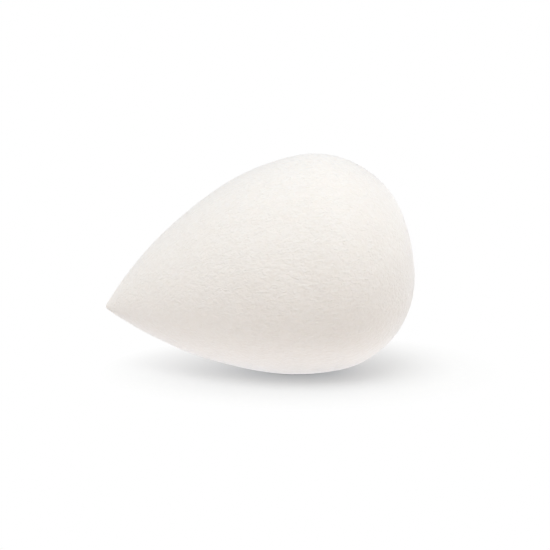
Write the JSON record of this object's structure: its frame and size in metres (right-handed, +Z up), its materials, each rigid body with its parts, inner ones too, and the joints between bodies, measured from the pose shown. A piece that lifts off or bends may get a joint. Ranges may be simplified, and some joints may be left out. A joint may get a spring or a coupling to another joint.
{
  "type": "makeup sponge",
  "caption": "Teardrop makeup sponge of fine open-cell foam, pointed at one end and rounded at the other, lying on its side.",
  "frame": {"origin": "middle of the small flat on which the sponge rests, in the plane of the table", "axes": "+Z up from the table, +X towards the blunt end; the long axis lies in the XZ plane, 12 degrees above +X"},
  "size_m": [0.0595, 0.042, 0.0419],
  "materials": {
    "foam": "matte, suede-like open-cell foam"
  },
  "bodies": {
    "root": {"foam_body": "foam"}
  },
  "joints": []
}
